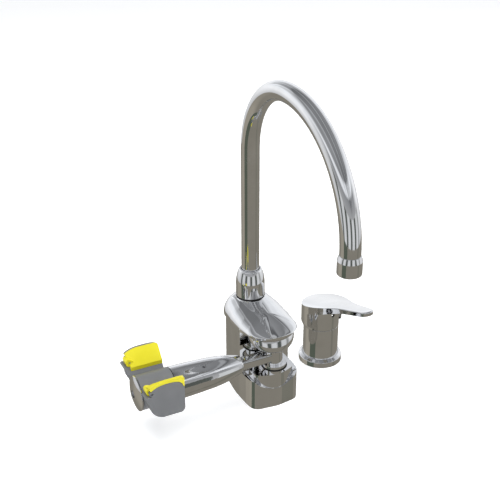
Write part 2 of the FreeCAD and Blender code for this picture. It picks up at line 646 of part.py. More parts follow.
cap_gasket_t = 0.6
cap_x = hub_end_x - cap_gasket_t
dome = 3.4
cap_edges = [
    Part.LineSegment(V(cap_x, pivot_y, arm_z), V(cap_x, pivot_y, arm_z + cap_r)).toShape(),
    Part.LineSegment(V(cap_x, pivot_y, arm_z + cap_r), V(cap_x - 1.2, pivot_y, arm_z + cap_r)).toShape(),
    Part.Arc(V(cap_x - 1.2, pivot_y, arm_z + cap_r), V(cap_x - 0.8 - dome * 0.86, pivot_y, arm_z + cap_r * 0.5),
             V(cap_x - 1.2 - dome, pivot_y, arm_z)).toShape(),
    Part.LineSegment(V(cap_x - 1.2 - dome, pivot_y, arm_z), V(cap_x, pivot_y, arm_z)).toShape(),
]
end = Part.Face(Part.Wire(cap_edges)).revolve(V(0, pivot_y, arm_z), V(1, 0, 0), 360)
end = end.fuse(cyl_x(cap_x - 0.1, hub_end_x + 7, pivot_y, arm_z, bore_r))
hex_r = 4.6
hex_pts = [V(cap_x - 10, pivot_y + hex_r * math.cos(math.radians(60 * i)),
             arm_z + hex_r * math.sin(math.radians(60 * i))) for i in range(7)]
hex_cut = Part.Face(Part.makePolygon(hex_pts)).extrude(V(10 - 0.8, 0, 0))
end_cap = end.cut(hex_cut).removeSplitter()
end_cap_gasket = ring_x(cap_x, hub_end_x, pivot_y, arm_z, bore_r, hub_r - 0.2)

# Mixer, built about its own axis with the lever along +X, then turned into place
flange = turned([(0, 0, 0), (flange_r, 0, 0), (flange_r, flange_h - 2.5, 0.8), (mixer_r + 1.2, flange_h, 0.8),
                 (0, flange_h, 0)], 0, 0)
mixer_gasket = ring(0, 0, 0, 1.0, flange_r - 4.5, flange_r - 1.8)
foot_z = 2.0
flange = flange.cut(cyl(0, 0, foot_z, 20, mixer_r)).cut(cyl(0, 0, -1, 20, 15.0))
mixer_flange = flange.cut(mixer_gasket)
floor_z = 22.0
mixer = cyl(0, 0, foot_z, mixer_top_z, mixer_r).cut(cyl(0, 0, floor_z, 60, mixer_bore_r))
port_ring = 8.0
ports = [(0, port_ring), (0, -port_ring), (-port_ring, 0)]
port_r = 2.5
port_thread_r = 4.8
port_thread_len = 12.0
for x, y in ports:
    mixer = mixer.cut(cyl(x * 1.1, y * 1.1, -1, foot_z + port_thread_len, port_thread_r if x == 0 else 4.0))
    mixer = mixer.cut(cyl(x, y, 0, 30, port_r))
mixer_stud_r = 3.0
mixer_stud_len = 12.0
mixer_body = mixer.cut(cyl(port_ring + 1.5, 0, -1, foot_z + mixer_stud_len, mixer_stud_r))
seal_t = 1.0
cartridge_seals = Part.makeCompound([ring(x, y, floor_z, floor_z + seal_t, port_r, port_r + 1.3) for x, y in ports])
cart_z = floor_z + seal_t
cart_top = 44.0
disc_z = cart_z + 4
cart = cyl(0, 0, cart_z, cart_top, mixer_bore_r - 0.1).cut(cyl(0, 0, disc_z, 60, 14.5))
fixed_t = 3.0
fixed = cyl(0, 0, disc_z, disc_z + fixed_t, 14.4)
for x, y in ports:
    cart = cart.cut(cyl(x, y, 10, disc_z + 1, port_r))
    fixed = fixed.cut(cyl(x, y, 10, 40, port_r))
cartridge_housing = cart
fixed_ceramic_disc = fixed
mov_z = disc_z + fixed_t + 0.05
mov_t = 3.5
ball_z = tilt_z - 13.0
moving = cyl(0, 0, mov_z, mov_z + mov_t, 10.3)
moving_ceramic_disc = moving.cut(cyl(0, 0, mov_z + 0.4, 40, 2.7))
rotor_z = mov_z + mov_t + 0.4
rotor = cyl(0, 0, rotor_z, cart_top - 2.4, 14.1).fuse(cyl(0, 0, 40, tilt_z + 5, 9.6))
slot = box(-6.2, 6.2, -3.2, 3.2, rotor_z - 1, tilt_z + 6)
cart_pin_r = 1.5
rotor = rotor.cut(slot)
cartridge_rotor = rotor.cut(cyl_y(-12, 12, 0, tilt_z, cart_pin_r)).removeSplitter()
cartridge_pin = cyl_y(-9.2, 9.2, 0, tilt_z, cart_pin_r)
rod_r = 2.6
lever_top = 68.0
rod = cyl(0, 0, ball_z, lever_top, rod_r).cut(cyl_y(-12, 12, 0, tilt_z, cart_pin_r + 0.05))
rod = rod.cut(ring(0, 0, ball_z - 1, ball_z + 4, 1.5, 5))
cartridge_lever = rod.fuse(Part.makeSphere(2.3, V(0, 0, ball_z))).removeSplitter()
nut = cyl(0, 0, cart_top, mixer_top_z, mixer_bore_r).fuse(cyl(0, 0, mixer_top_z - 1, mixer_top_z + 3.5, 15.2))
nut = nut.cut(cyl(0, 0, 30, 60, 10.3))
for a in range(0, 360, 60):
    flat = box(14.0, 20, -12, 12, mixer_top_z + 0.3, 60)
    flat.rotate(V(0, 0, 0), V(0, 0, 1), a)
    nut = nut.cut(flat)
bonnet_nut = nut

# Handle: skirted cap with an arched front relief and a tapering lever
taper = [(10, 22.0), (22, 18.6), (34, 13.6), (48, 10.2), (62, 8.9)]
tip_c = lever_tip_x - lever_tip_half_w
upper = [V(0, skirt_r, 0)] + [V(x, y, 0) for x, y in taper] + [V(tip_c, lever_tip_half_w, 0)]
up_curve = Part.BSplineCurve()
up_curve.interpolate(upper)
low_curve = Part.BSplineCurve()
low_curve.interpolate([V(p.x, -p.y, 0) for p in upper])
tip = Part.Arc(upper[-1], V(lever_tip_x, 0, 0), V(tip_c, -lever_tip_half_w, 0)).toShape()
back = Part.LineSegment(V(0, skirt_r, 0), V(0, -skirt_r, 0)).toShape()
paddle_plan = Part.Face(Part.Wire(Part.__sortEdges__([up_curve.toShape(), tip, low_curve.toShape(), back])))
paddle = paddle_plan.extrude(V(0, 0, 140))


def cap_top(x, drop):
    return cap_centre_z + x * cap_slope - drop


side = prism_y([(0, cap_top(0, 12), 0), (21, cap_top(21, 9.5), 8), (44, cap_top(44, 6.4), 40),
                (lever_tip_x + 2, cap_top(lever_tip_x + 2, 5.0), 0), (lever_tip_x + 2, 140, 0), (0, 140, 0)], -30, 30)
paddle = paddle.common(side)
cap = turned([(0, skirt_bottom_z, 0), (skirt_bore_r + 0.2, skirt_bottom_z, 0), (skirt_r, skirt_bevel_z, 0),
              (skirt_r, 120, 0), (0, 120, 0)], 0, 0)
roof_cut = prism_y([(-60, cap_top(-60, 0), 0), (120, cap_top(120, 0), 0), (120, 160, 0), (-60, 160, 0)], -60, 60)
handle = cap.fuse(paddle).cut(roof_cut).removeSplitter()
rim = edges_near(handle, lambda b: b.ZMin > cap_top(-skirt_r, 1.5) and b.ZMax > cap_top(b.XMax, 0.5)
                 and b.ZMin > cap_top(b.XMin, 0.5))
handle = handle.makeFillet(1.4, rim)
ceiling = prism_y([(-60, cap_top(-60, 2.4), 0), (120, cap_top(120, 2.4), 0), (120, 20, 0), (-60, 20, 0)], -60, 60)
hollow = cyl(0, 0, 30, 120, skirt_bore_r).common(ceiling)
wall = ring(0, 0, skirt_bottom_z - 0.5, 120, mixer_bore_r + 0.6, mixer_r).common(ceiling)
wall = wall.common(prism_z([(0, 0, 0), (30, -64, 0), (30, 64, 0)], 30, 120))
arch_half = [(21.0, 44), (19.2, 52), (15.0, 62.5), (8.0, 70.5)]
arch_pts = arch_half + [(0, 73.2)] + [(-y, z) for y, z in reversed(arch_half)]
arch_curve = Part.BSplineCurve()
arch_curve.interpolate([V(0, y, z) for y, z in arch_pts])
arch_base = Part.LineSegment(V(0, -21.0, 44), V(0, 21.0, 44)).toShape()
arch = Part.Face(Part.Wire([arch_curve.toShape(), arch_base])).extrude(V(40, 0, 0))
arch = arch.cut(cyl(0, 0, 30, 120, mixer_r))
boss = cyl(0, 0, tilt_z + 8, 90, 6.5).common(ceiling)
handle = handle.cut(hollow).fuse(wall).fuse(boss).cut(arch)
handle = handle.cut(cyl(0, 0, 30, lever_top, rod_r))
screw_len = 5.0
handle = handle.cut(cyl_x(0, 30, 0, handle_screw_z, handle_screw_r))
mixer_handle = handle.removeSplitter()
screw = cyl_x(rod_r, rod_r + screw_len, 0, handle_screw_z, handle_screw_r)
rod_clear = cyl(0, 0, 30, 90, rod_r)
screw = screw.cut(rod_clear)
handle_set_screw = screw.cut(cyl_x(rod_r + screw_len - 2, 30, 0, handle_screw_z, 1.1))


def seat_mixer(shape):
    s = shape.copy()
    s.rotate(V(0, 0, 0), V(0, 0, 1), lever_turn)
    s.translate(V(mixer_x, mixer_y, 0))
    return s


nodes = {
    "body_foot": body_foot, "body_column": body_column, "body_nose": body_nose, "top_cover": top_cover,
    "base_gasket": base_gasket,
    "spout_collar": spout_collar, "collar_o_ring": collar_o_ring, "spout_socket": spout_socket,
    "spout_tube": spout_tube, "spout_end_fitting": spout_end_fitting, "spout_bushing": spout_bushing,
    "spout_o_rings": spout_o_rings, "spout_retainer": spout_retainer, "aerator_shell": aerator_shell,
    "aerator_insert": aerator_insert, "aerator_screen": aerator_screen, "aerator_washer": aerator_washer,
    "pivot_socket": pivot_socket, "pivot_o_ring": pivot_o_ring, "pivot_washer": pivot_washer,
    "swing_stem": swing_stem, "upper_bushing": upper_bushing, "lower_bushing": lower_bushing,
    "stem_clip": stem_clip, "valve_cam": valve_cam, "valve_plunger": valve_plunger, "valve_disc": valve_disc,
    "valve_seat": valve_seat, "valve_spring": valve_spring,
    "arm_bar": arm_bar, "arm_shell": arm_shell, "arm_set_screw": arm_set_screw,
    "arm_water_tube": arm_water_tube, "arm_o_ring": arm_o_ring, "head_body": head_body,
    "head_strainer": head_strainer, "nozzle_insert_left": nozzle_insert_left,
    "nozzle_insert_right": nozzle_insert_right, "dust_cover_left": dust_cover_left,
    "dust_cover_right": dust_cover_right, "hinge_pins": hinge_pins, "end_cap": end_cap,
    "end_cap_gasket": end_cap_gasket,
}
mixer_nodes = {
    "mixer_flange": mixer_flange, "mixer_gasket": mixer_gasket, "mixer_body": mixer_body,
    "cartridge_housing": cartridge_housing, "cartridge_seals": cartridge_seals,
    "fixed_ceramic_disc": fixed_ceramic_disc, "moving_ceramic_disc": moving_ceramic_disc,
    "cartridge_rotor": cartridge_rotor, "cartridge_pin": cartridge_pin, "cartridge_lever": cartridge_lever,
    "bonnet_nut": bonnet_nut, "mixer_handle": mixer_handle, "handle_set_screw": handle_set_screw,
}
for name, shape in mixer_nodes.items():
    nodes[name] = seat_mixer(shape)
for name, shape in nodes.items():
    solids = len(shape.Solids)
    print(name, "solids", solids, "volume", round(shape.Volume, 1), "valid", shape.isValid())
    shape.exportStep("parts/" + name + ".step")
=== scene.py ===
import json
import math

import bmesh
import bpy
from mathutils import Matrix, Vector


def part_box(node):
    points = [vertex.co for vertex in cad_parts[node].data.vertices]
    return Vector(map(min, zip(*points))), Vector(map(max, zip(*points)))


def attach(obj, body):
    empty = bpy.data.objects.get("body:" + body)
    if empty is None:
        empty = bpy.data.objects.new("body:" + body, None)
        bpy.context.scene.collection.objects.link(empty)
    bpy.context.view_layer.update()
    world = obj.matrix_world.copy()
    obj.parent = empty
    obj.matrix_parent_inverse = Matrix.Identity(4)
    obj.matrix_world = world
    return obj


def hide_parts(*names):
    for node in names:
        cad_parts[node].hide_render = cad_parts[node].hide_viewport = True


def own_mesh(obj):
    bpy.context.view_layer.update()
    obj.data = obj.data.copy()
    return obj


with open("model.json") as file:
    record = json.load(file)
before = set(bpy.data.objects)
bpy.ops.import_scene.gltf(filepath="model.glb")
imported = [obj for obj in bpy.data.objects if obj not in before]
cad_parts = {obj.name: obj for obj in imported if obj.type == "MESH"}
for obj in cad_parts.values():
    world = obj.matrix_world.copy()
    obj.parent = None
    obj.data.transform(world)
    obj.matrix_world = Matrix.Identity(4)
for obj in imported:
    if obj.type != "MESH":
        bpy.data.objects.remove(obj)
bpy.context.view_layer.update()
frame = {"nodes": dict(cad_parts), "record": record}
nodes = frame["nodes"]
print("frame loaded:", len(nodes), "nodes")

# the pieces' dictionaries are in mm and degrees, the finishes and the stage in metres
mm = 0.001


def addObject(name, data):
    made = bpy.data.objects.new(name, data)
    bpy.context.scene.collection.objects.link(made)
    return made


def meshFrom(work, name):
    mesh = bpy.data.meshes.new(name)
    work.to_mesh(mesh)
    work.free()
    return mesh


# Finishes: noise clouds for colour and polish, fine bumps for waves and grain

metalLook = {"cloudScale": 45, "cloudDetail": 3, "waveDetail": 2, "grainDetail": 4, "grainStrength": 0.35}
plasticLook = {"cloudDetail": 4, "fineDetail": 3}


def startFinish(name):
    mat = bpy.data.materials.new(name)
    mat.use_nodes = True
    tree = mat.node_tree
    shader = tree.nodes["Principled BSDF"]
    coords = tree.nodes.new("ShaderNodeTexCoord")
    return mat, tree, shader, coords.outputs["Object"]


def addNoise(tree, vector, scale, detail, stretch=(1, 1, 1)):
    mapping = tree.nodes.new("ShaderNodeMapping")
    mapping.inputs["Scale"].default_value = stretch
    noise = tree.nodes.new("ShaderNodeTexNoise")
    noise.inputs["Scale"].default_value = scale
    noise.inputs["Detail"].default_value = detail
    tree.links.new(vector, mapping.inputs["Vector"])
    tree.links.new(mapping.outputs["Vector"], noise.inputs["Vector"])
    return noise.outputs["Fac"]


def addRamp(tree, value, stops):
    ramp = tree.nodes.new("ShaderNodeValToRGB")
    bar = ramp.color_ramp
    while len(bar.elements) < len(stops):
        bar.elements.new(0.5)
    for element, (at, colour) in zip(bar.elements, stops):
        element.position = at
        element.color = (*colour, 1)
    tree.links.new(value, ramp.inputs["Fac"])
    return ramp.outputs["Color"]


def addRange(tree, value, low, high, fromLow=0.3, fromHigh=0.7):
    node = tree.nodes.new("ShaderNodeMapRange")
    node.inputs["From Min"].default_value = fromLow
    node.inputs["From Max"].default_value = fromHigh
    node.inputs["To Min"].default_value = low
    node.inputs["To Max"].default_value = high
    tree.links.new(value, node.inputs["Value"])
    return node.outputs["Result"]


def addBump(tree, height, strength, distance, under=None):
    bump = tree.nodes.new("ShaderNodeBump")
    bump.inputs["Strength"].default_value = strength
    bump.inputs["Distance"].default_value = distance
    tree.links.new(height, bump.inputs["Height"])
    if under is not None:
        tree.links.new(under, bump.inputs["Normal"])
    return bump.outputs["Normal"]


def metalFinish(name, dark, light, rough, waves, grain):
    look = metalLook
    mat, tree, shader, coords = startFinish(name)
    shader.inputs["Metallic"].default_value = 1.0
    cloud = addNoise(tree, coords, look["cloudScale"], look["cloudDetail"])
    tree.links.new(addRamp(tree, cloud, [(0.3, dark), (0.7, light)]), shader.inputs["Base Color"])
    smear = addNoise(tree, coords, grain["scale"], look["grainDetail"], grain["stretch"])
    tree.links.new(addRange(tree, smear, *rough), shader.inputs["Roughness"])
    swell = addNoise(tree, coords, waves["scale"], look["waveDetail"])
    normal = addBump(tree, swell, waves["strength"], waves["depth"])
    if grain["depth"]:
        normal = addBump(tree, smear, look["grainStrength"], grain["depth"], normal)
    tree.links.new(normal, shader.inputs["Normal"])
    return mat


def plasticFinish(name, dark, light, rough, texture, specular=0.5):
    mat, tree, shader, coords = startFinish(name)
    cloud = addNoise(tree, coords, texture["cloud"], plasticLook["cloudDetail"])
    tree.links.new(addRamp(tree, cloud, [(0.25, dark), (0.75, light)]), shader.inputs["Base Color"])
    tree.links.new(addRange(tree, cloud, *rough), shader.inputs["Roughness"])
    fine = addNoise(tree, coords, texture["fine"], plasticLook["fineDetail"])
    tree.links.new(addBump(tree, fine, texture["strength"], texture["depth"]), shader.inputs["Normal"])
    shader.inputs["Specular IOR Level"].default_value = specular
    return mat


chromePlate = metalFinish("chromePlate", (0.80, 0.80, 0.805), (0.87, 0.87, 0.88), (0.035, 0.07),
                          {"scale": 28, "strength": 0.05, "depth": 0.0004},
                          {"scale": 120, "stretch": (1, 1, 1), "depth": 0})
spunBrass = metalFinish("spunBrass", (0.62, 0.42, 0.17), (0.75, 0.55, 0.27), (0.18, 0.32),
                        {"scale": 60, "strength": 0.05, "depth": 0.0003},
                        {"scale": 300, "stretch": (1, 1, 8), "depth": 0.00003})
drawnSteel = metalFinish("drawnSteel", (0.52, 0.52, 0.53), (0.66, 0.66, 0.67), (0.22, 0.38),
                         {"scale": 60, "strength": 0.05, "depth": 0.0003},
                         {"scale": 260, "stretch": (1, 1, 10), "depth": 0.00004})
blackRubber = plasticFinish("blackRubber", (0.008, 0.008, 0.008), (0.018, 0.018, 0.018), (0.5, 0.75),
                            {"cloud": 90, "fine": 900, "strength": 0.3, "depth": 0.0001}, 0.3)
headGrey = plasticFinish("headGrey", (0.150, 0.155, 0.162), (0.178, 0.182, 0.190), (0.38, 0.52),
                         {"cloud": 55, "fine": 1300, "strength": 0.35, "depth": 0.00008})
coverYellow = plasticFinish("coverYellow", (0.72, 0.64, 0.018), (0.80, 0.72, 0.030), (0.28, 0.42),
                            {"cloud": 40, "fine": 1100, "strength": 0.2, "depth": 0.00006})
nozzleWhite = plasticFinish("nozzleWhite", (0.68, 0.68, 0.66), (0.80, 0.80, 0.78), (0.35, 0.5),
                            {"cloud": 70, "fine": 900, "strength": 0.2, "depth": 0.00006})
groundCeramic = plasticFinish("groundCeramic", (0.76, 0.75, 0.72), (0.86, 0.85, 0.83), (0.12, 0.2),
                              {"cloud": 120, "fine": 1500, "strength": 0.1, "depth": 0.00003})

finishOf = {
    "chrome": chromePlate,
    "brass": spunBrass,
    "steel": drawnSteel,
    "black_rubber": blackRubber,
    "grey_plastic": headGrey,
    "yellow_plastic": coverYellow,
    "white_plastic": nozzleWhite,
    "ceramic": groundCeramic,
}
blackenedSteel = metalFinish("blackenedSteel", (0.02, 0.02, 0.02), (0.035, 0.035, 0.035), (0.35, 0.5),
                             {"scale": 60, "strength": 0.05, "depth": 0.0003},
                             {"scale": 260, "stretch": (1, 1, 10), "depth": 0.00004})
slotOf = {row["node"]: row["material_slot"] for row in frame["record"]["subparts"]}
bodies = frame["record"]["behaviour"]["bodies"]
bodyOf = {node: body for body, members in bodies.items() for node in members}
for nodeName, node in nodes.items():
    finish = blackenedSteel if nodeName == "handle_set_screw" else finishOf[slotOf[nodeName]]
    node.data.materials.clear()
    node.data.materials.append(finish)
print("finishes made:", len(finishOf))


# Pieces that show: a merged copy of the solid with its edges eased

merging = {"gap": 0.002, "sliver": 0.001, "copyFlat": 0.4, "joinedFlat": 0.3}
easing = {"faceWeight": 100}


def place(mesh, name, *nodeNames):
    piece = addObject(name, mesh)
    mesh.materials.clear()
    mesh.materials.append(finishOf[slotOf[nodeNames[0]]])
    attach(piece, bodyOf[nodeNames[0]])
    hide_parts(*nodeNames)
    return piece


def mergedCopy(nodeName, name):
    mesh = nodes[nodeName].data.copy()
    mesh.name = name
    mergeFaces(mesh, merging["copyFlat"])
    return mesh


def mergeFaces(mesh, flat=merging["joinedFlat"]):
    # turns loose triangles into the flats and facets that they make up
    work = bmesh.new()
    work.from_mesh(mesh)
    bmesh.ops.remove_doubles(work, verts=work.verts, dist=merging["gap"] * mm)
    bmesh.ops.dissolve_degenerate(work, edges=work.edges, dist=merging["sliver"] * mm)
    bmesh.ops.dissolve_limit(work, angle_limit=math.radians(flat), verts=work.verts, edges=work.edges)
    work.to_mesh(mesh)
    work.free()


def combine(mesh, name, steps):
    # joins, cuts or trims a mesh with others and keeps the plain result
    holder = addObject(name + "Seed", mesh)
    tools = []
    for operation, other in steps:
        tools.append(addObject(name + "Tool", other))
        modifier = holder.modifiers.new("combine", "BOOLEAN")
        modifier.operation = operation
        modifier.solver = "EXACT"
        modifier.object = tools[-1]
    return keepResult(holder, name, tools)


def keepResult(holder, name, tools=()):
    bpy.context.view_layer.update()
    shaped = holder.evaluated_get(bpy.context.evaluated_depsgraph_get())
    result = bpy.data.meshes.new_from_object(shaped)
    result.name = name
    for extra in [*tools, holder]:
        bpy.data.objects.remove(extra)
    return result


def easeEdges(nodeName, name, edge, mesh=None, replaced=None):
    mesh = mesh or mergedCopy(nodeName, name)
    mesh.shade_smooth()
    mesh.set_sharp_from_angle(angle=math.radians(edge["crease"]))
    piece = place(mesh, name, *(replaced or [nodeName]))
    bevel = piece.modifiers.new("easedEdge", "BEVEL")
    bevel.width = edge["width"] * mm
    bevel.segments = edge["steps"]
    bevel.limit_method = "ANGLE"
    bevel.angle_limit = math.radians(edge["crease"])
    flatten = piece.modifiers.new("trueNormals", "WEIGHTED_NORMAL")
    flatten.keep_sharp = True
    flatten.weight = easing["faceWeight"]


# Casting: foot, column and nose as one, with the nose band drawn in to an oval front

casting = {
    "parts": ["body_foot", "body_column", "body_nose"],
    "edge": {"width": 0.35, "steps": 3, "crease": 32},
    "columnFront": -33.0,
    "noseCentre": -45.4,
    "sideHalf": 30.0,
    "bandLow": (83.0, 25.7, 22.4),
    "bandHigh": (88.0, 28.3, 26.5),
    "reach": (0.1, 0.01),
}


def roundNose(x, y, halfX, halfY):
    # keeps a point of the nose's plan inside an oval front, in mm
    centre, front = casting["noseCentre"], casting["columnFront"]
    if y > centre:
        limit = halfX + (casting["sideHalf"] - halfX) * min(1.0, (y - centre) / (front - centre))
        return max(-limit, min(limit, x)), y
    over = max(1.0, math.hypot(x / halfX, (y - centre) / halfY))
    return x / over, centre + (y - centre) / over


def makeCasting():
    first, *rest = [mergedCopy(part, part + "Copy") for part in casting["parts"]]
    mesh = combine(first, "castHousing", [("UNION", other) for other in rest])
    mergeFaces(mesh)
    (lowZ, lowX, lowY), (highZ, highX, highY) = casting["bandLow"], casting["bandHigh"]
    below, ahead = casting["reach"]
    for v in mesh.vertices:
        x, y, z = v.co / mm
        if z > lowZ - below and y < casting["columnFront"] - ahead:
            share = min(1.0, (z - lowZ) / (highZ - lowZ))
            halfX, halfY = lowX + (highX - lowX) * share, lowY + (highY - lowY) * share
            newX, newY = roundNose(x, y, halfX, halfY)
            v.co = Vector((newX, newY, z + (partHeight(newY) - partHeight(y)) * share)) * mm
    easeEdges("body_foot", "castHousing", casting["edge"], mesh, casting["parts"])


# Cover: a dome over the cast outline, trimmed by the solid so that its underside stays

dome = {
    "spineRear": 0.0,
    "spineFront": -40.0,
    "spineShare": 0.75,
    "steps": 28,
    "powerRear": 2.1,
    "powerFront": 1.5,
    "powerFrom": 15.0,
    "powerOver": 45.0,
    "inset": 0.03,
    "lip": 0.35,
    "outlineGap": 1.2,
    "outlineMatch": 0.05,
    "partRear": 80.0,
    "partFront": 91.0,
    "partRearY": 40.0,
    "partLength": 130.0,
    "roofRear": 106.0,
    "roofFront": 98.5,
    "roofGap": 0.05,
    "frontY": -68.4,
    "under": 4.0,
    "seatRadius": 15.8,
    "seatTop": 104.0,
    "seatDeep": 12.0,
    "seatSides": 96,
    "weld": 0.005,
    "crease": 38,
}


def partHeight(y):
    # the cover's lower edge, in mm
    rise = dome["partFront"] - dome["partRear"]
    return dome["partRear"] + (dome["partRearY"] - y) / dome["partLength"] * rise


def roofHeight(y):
    return dome["roofRear"] + (dome["roofFront"] - dome["roofRear"]) * y / dome["frontY"]


def coverOutline():
    # the plan of the cover's lowest edge, in mm, counter-clockwise, rounded at the nose
    spots = set()
    for v in nodes["top_cover"].data.vertices:
        x, y, z = (at / mm for at in v.co)
        if abs(z - partHeight(y)) < dome["outlineMatch"]:
            spots.add((round(x, 3), round(y, 3)))
    ordered = sorted(spots)
    hull = []
    for run in (ordered, ordered[::-1]):
        start = len(hull)
        for p in run:
            while len(hull) >= start + 2 and crossOf(hull[-2], hull[-1], p) <= 0:
                hull.pop()
            hull.append(p)
        hull.pop()
    _, halfX, halfY = casting["bandHigh"]
    halfX, halfY = halfX + dome["lip"], halfY + dome["lip"]
    return [roundNose(x, y, halfX, halfY) for x, y in evenSpaced(hull, dome["outlineGap"])]


def crossOf(a, b, c):
    return (b[0] - a[0]) * (c[1] - a[1]) - (b[1] - a[1]) * (c[0] - a[0])


def evenSpaced(ring, gap):
    spots = []
    for i, (x0, y0) in enumerate(ring):
        x1, y1 = ring[(i + 1) % len(ring)]
        count = max(1, round(math.hypot(x1 - x0, y1 - y0) / gap))
        spots += [(x0 + (x1 - x0) * k / count, y0 + (y1 - y0) * k / count) for k in range(count)]
    return spots


def domeSolid():
    outline = coverOutline()
    verts = []
    for k in range(dome["steps"]):
        angle = math.pi / 2 * k / dome["steps"]
        for x, y in outline:
            forward = min(1.0, max(0.0, (-y - dome["powerFrom"]) / dome["powerOver"]))
            bend = 2 / (dome["powerRear"] + (dome["powerFront"] - dome["powerRear"]) * forward)
            reach = math.cos(angle) ** bend
            height = math.sin(angle) ** bend
            spine = min(dome["spineRear"], max(dome["spineFront"], y * dome["spineShare"]))
            scale = reach * (1 - dome["inset"] / math.hypot(x, y - spine))
            px, py = x * scale, spine + (y - spine) * scale
            base, roof = partHeight(y), roofHeight(py) - dome["roofGap"]
            verts.append((px * mm, py * mm, (base + (roof - base) * height) * mm))
    count = len(outline)
    work = bmesh.new()
    made = [work.verts.new(p) for p in verts]
    rings = [[work.verts.new((v.co.x, v.co.y, v.co.z - dome["under"] * mm)) for v in made[:count]]]
    rings += [made[k * count:(k + 1) * count] for k in range(dome["steps"])]
    for lower, upper in zip(rings, rings[1:]):
        for i in range(count):
            j = (i + 1) % count
            work.faces.new((lower[i], lower[j], upper[j], upper[i]))
    work.faces.new(rings[0][::-1])
    work.faces.new(rings[-1])
    bmesh.ops.triangulate(work, faces=[f for f in work.faces if len(f.verts) > 4])
    bmesh.ops.recalc_face_normals(work, faces=work.faces)
    return meshFrom(work, "domeShape")


def roundBar(name, radius, long, sides, spot):
    work = bmesh.new()
    bmesh.ops.create_cone(work, cap_ends=True, segments=sides, radius1=radius, radius2=radius, depth=long)
    bmesh.ops.transform(work, matrix=spot, verts=work.verts)
    return meshFrom(work, name)


def seatDisc():
    low = (dome["seatTop"] - dome["seatDeep"]) * mm
    return roundBar("seatDisc", dome["seatRadius"] * mm, 2 * dome["seatDeep"] * mm, dome["seatSides"],
                    Matrix.Translation((0, 0, low)))


def makeCover():
    shape = combine(domeSolid(), "domeWithSeat", [("UNION", seatDisc())])
    mesh = combine(mergedCopy("top_cover", "coverCopy"), "domedCover", [("INTERSECT", shape)])
    work = bmesh.new()
    work.from_mesh(mesh)
    bmesh.ops.remove_doubles(work, verts=work.verts, dist=dome["weld"] * mm)
    work.to_mesh(mesh)
    work.free()
    mesh.shade_smooth()
    mesh.set_sharp_from_angle(angle=math.radians(dome["crease"]))
    place(mesh, "domedCover", "top_cover")


# Eyewash head: the far cup's outer wall stands up beside its yellow flap

cups = {
    "rimDrop": 0.35,
    "slack": 2.0,
    "shoulderZ": 79.5,
    "peakZ": 90.0,
    "archX": -139.0,
    "middleY": -55.0,
    "cupsFrom": 20.0,
    "endX": (-157.5, -117.5),
    "arcFoot": 0.6,
    "topShare": 0.98,
    "squareness": (2.2, 3.2),
    "headEdge": {"width": 0.4, "steps": 3, "crease": 30},
    "flapEdge": {"width": 0.5, "steps": 4, "crease": 30},
    "flaps": {"dust_cover_left": ("flapLeft", 2.6), "dust_cover_right": ("flapRight", 0)},
}


def slab(low, high):
    work = bmesh.new()
    bmesh.ops.create_cube(work, size=1.0)
    for v in work.verts:
        v.co = Vector(low[i] if v.co[i] < 0 else high[i] for i in range(3))
    return meshFrom(work, "slab")


def squareArch(mesh):
    # fills out the round arch of a cup's top to the squarer one of the real moulding
    foot, middle = cups["arcFoot"], cups["archX"]
    leftEnd, rightEnd = cups["endX"]
    for v in mesh.vertices:
        x, y, z = v.co / mm
        if z > cups["shoulderZ"] and abs(y - cups["middleY"]) > cups["cupsFrom"]:
            rise = (z - cups["shoulderZ"]) / (cups["peakZ"] - cups["shoulderZ"])
            rise = min(cups["topShare"], rise)
            power = cups["squareness"][x > middle]
            arc = math.sqrt(1 - (foot + (1 - foot) * rise) ** 2) / math.sqrt(1 - foot ** 2)
            wide = (x - middle) * (1 - rise ** power) ** (1 / power) / arc
            v.co.x = max(leftEnd, min(rightEnd, middle + wide)) * mm


def makeHead():
    rims = []
    for nodeName, (name, rimWide) in cups["flaps"].items():
        flap = mergedCopy(nodeName, name)
        if rimWide:  # the flap's outer slice becomes part of the head
            low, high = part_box(nodeName)
            slack = cups["slack"] * mm
            start = (low[0] - slack, high[1] - rimWide * mm, low[2] - slack)
            end = [at + slack for at in high]
            rim = combine(mergedCopy(nodeName, name + "Rim"), name + "Rim", [("INTERSECT", slab(start, end))])
            for v in rim.vertices:
                v.co.z -= cups["rimDrop"] * mm
            rims.append(("UNION", rim))
            flap = combine(flap, name, [("DIFFERENCE", slab(start, end))])
            mergeFaces(flap)
        squareArch(flap)
        easeEdges(nodeName, name, cups["flapEdge"], flap)
    head = combine(mergedCopy("head_body", "headMoulding"), "headMoulding", rims)
    mergeFaces(head)
    squareArch(head)
    easeEdges("head_body", "headMoulding", cups["headEdge"], head)


# Mixer handle: the sloping top gets a soft crown along the lever

lever = {
    "top": (89.6, -3.06, 77.0),
    "turn": -81.0,
    "slope": 14.5,
    "crown": 140.0,
    "crownSides": 320,
    "crownLong": 400.0,
    "edge": {"width": 0.9, "steps": 5, "crease": 32},
}


def makeLever():
    spot = Matrix.Translation([at * mm for at in lever["top"]])
    turned = Matrix.Rotation(math.radians(lever["turn"]), 4, "Z")
    tilted = Matrix.Rotation(math.radians(90 - lever["slope"]), 4, "Y")
    sunk = Matrix.Translation((lever["crown"] * mm, 0, 0))
    crown = roundBar("crown", lever["crown"] * mm, lever["crownLong"] * mm, lever["crownSides"],
                     spot @ turned @ tilted @ sunk)
    mesh = combine(mergedCopy("mixer_handle", "handleCopy"), "mixerHandle", [("INTERSECT", crown)])
    mergeFaces(mesh)
    easeEdges("mixer_handle", "mixerHandle", lever["edge"], mesh)


# Valve spring: a merged copy with a mesh of its own (the real spring gets shorter as its disc comes down)


def makeSpring():
    piece = place(mergedCopy("valve_spring", "closingSpring"), "closingSpring", "valve_spring")
    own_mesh(piece)


# Turned and cast pieces whose solids only need their edges eased

